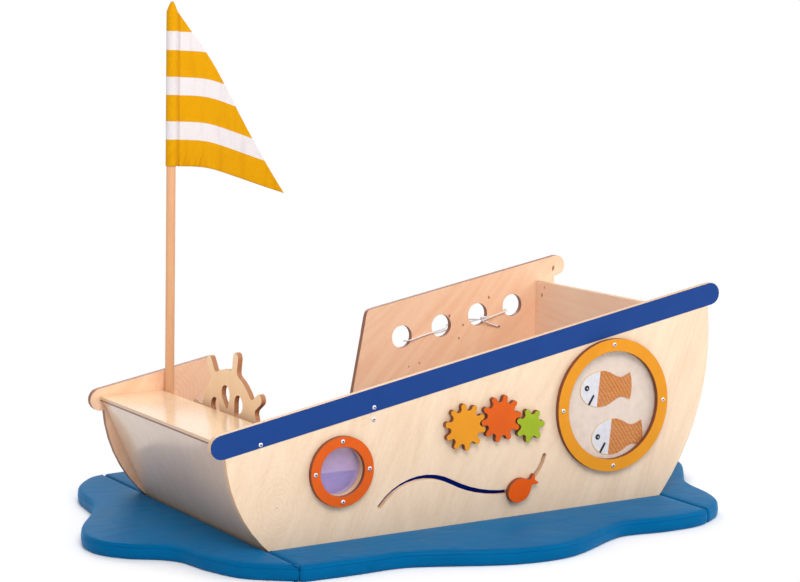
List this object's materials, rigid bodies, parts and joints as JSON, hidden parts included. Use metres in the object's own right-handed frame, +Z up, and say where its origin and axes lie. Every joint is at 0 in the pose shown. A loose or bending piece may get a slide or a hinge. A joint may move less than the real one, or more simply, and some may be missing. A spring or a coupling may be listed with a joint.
{
  "type": "play boat",
  "caption": "Plywood play boat with an open hull, steering wheel, mast and pennant, meshing gears, sliding fish, round windows and foam water mats.",
  "frame": {"origin": "on the floor at the hull's middle, on the underside of the inner floor mat", "axes": "+X to the bow, +Y to the far side with the entrance, +Z up"},
  "size_m": [2.0643, 1.5503, 1.5303],
  "materials": {
    "birch_ply": "pale birch plywood, clear satin lacquer",
    "birch_ply_inside": "birch plywood seen from inside, warm clear lacquer",
    "beech": "round beech bar and small beech blocks, clear lacquer",
    "blue_paint": "satin blue paint on plywood",
    "orange_paint": "satin orange paint on plywood, brown ply edges",
    "yellow_paint": "satin yellow paint on plywood, brown ply edges",
    "green_paint": "satin green paint on plywood",
    "violet_pane": "clear plastic pane tinted violet",
    "clear_pane": "clear plastic pane",
    "felt": "pale speckled felt",
    "fish_ply": "thin plywood fish, white face",
    "white_rope": "white braided rope",
    "flag_cloth": "woven cloth in yellow and white stripes",
    "mat_skin": "blue artificial leather over foam"
  },
  "bodies": {
    "hull": {"near_side_panel": "birch_ply", "transom": "birch_ply", "stern_deck": "birch_ply", "box_front_board": "birch_ply", "bow_board": "birch_ply", "bow_lower_board": "birch_ply", "porthole_inner_ring": "birch_ply", "window_back_board": "birch_ply", "far_side_panel": "birch_ply_inside", "deck_cleat_near": "beech", "deck_cleat_far": "beech", "near_inner_batten": "beech", "wheel_spacer": "beech", "mast_guide_block": "beech", "mast_foot_block": "beech", "near_blue_stripe": "blue_paint", "far_blue_stripe_stern": "blue_paint", "far_blue_stripe_bow": "blue_paint", "porthole_ring": "orange_paint", "window_ring": "yellow_paint", "porthole_pane": "violet_pane", "window_cover": "clear_pane", "picture_disc": "felt", "upper_fish": "fish_ply", "lower_fish": "fish_ply", "lacing_rope": "white_rope", "rope_knot": "white_rope", "rope_tail": "white_rope", "floor_mat": "mat_skin", "near_mat": "mat_skin", "far_mat": "mat_skin", "stern_mat": "mat_skin", "bow_mat": "mat_skin"},
    "yellow_gear_turn": {"yellow_gear": "yellow_paint", "yellow_gear_axle": "beech", "yellow_gear_cap": "beech"},
    "orange_gear_turn": {"orange_gear": "orange_paint", "orange_gear_axle": "beech", "orange_gear_cap": "beech"},
    "green_gear_turn": {"green_gear": "green_paint", "green_gear_axle": "beech", "green_gear_cap": "beech"},
    "slider_carriage": {"slider_pin": "beech", "slider_back_disc": "beech"},
    "slider_fish_turn": {"slider_fish": "orange_paint"},
    "wheel": {"steering_wheel": "birch_ply", "wheel_hub_cap": "beech", "wheel_axle_cap": "beech", "wheel_axle": "beech"},
    "mast_pole": {"mast": "beech"},
    "pennant": {"flag": "flag_cloth"}
  },
  "joints": [
    {"name": "orange_gear_axis", "type": "hinge", "parent": "hull", "child": "orange_gear_turn", "pos_m": [0.079, -0.42985, 0.339], "axis": [0, -1, 0], "continuous": true},
    {"name": "yellow_gear_axis", "type": "hinge", "parent": "hull", "child": "yellow_gear_turn", "pos_m": [-0.04392, -0.42985, 0.32608], "axis": [0, -1, 0], "continuous": true},
    {"name": "green_gear_axis", "type": "hinge", "parent": "hull", "child": "green_gear_turn", "pos_m": [0.17963, -0.42985, 0.30881], "axis": [0, -1, 0], "continuous": true},
    {"name": "slider_along_upturn", "type": "hinge", "parent": "hull", "child": "slider_carriage", "pos_m": [0.115, -0.42035, 0.247], "axis": [0, -1, 0], "range_deg": [-18, 55]},
    {"name": "fish_swivel", "type": "hinge", "parent": "slider_carriage", "child": "slider_fish_turn", "pos_m": [0.14358, -0.42985, 0.12018], "axis": [0, -1, 0], "range_deg": [-60, 90]},
    {"name": "wheel_axis", "type": "hinge", "parent": "hull", "child": "wheel", "pos_m": [-0.5771, -0.009, 0.294], "axis": [1, 0, 0], "continuous": true},
    {"name": "mast_lift", "type": "slide", "parent": "hull", "child": "mast_pole", "axis": [0.0225, 0, 0.9997], "range_m": [0, 0.28]},
    {"name": "pennant_turn", "type": "hinge", "parent": "mast_pole", "child": "pennant", "pos_m": [-0.57631, 0.38235, 1.04], "axis": [0.0225, 0, 0.9997], "continuous": true}
  ],
  "couplings": [
    {"joint": "yellow_gear_axis", "follows": "orange_gear_axis", "ratio": -1},
    {"joint": "green_gear_axis", "follows": "orange_gear_axis", "ratio": -1.4286}
  ]
}
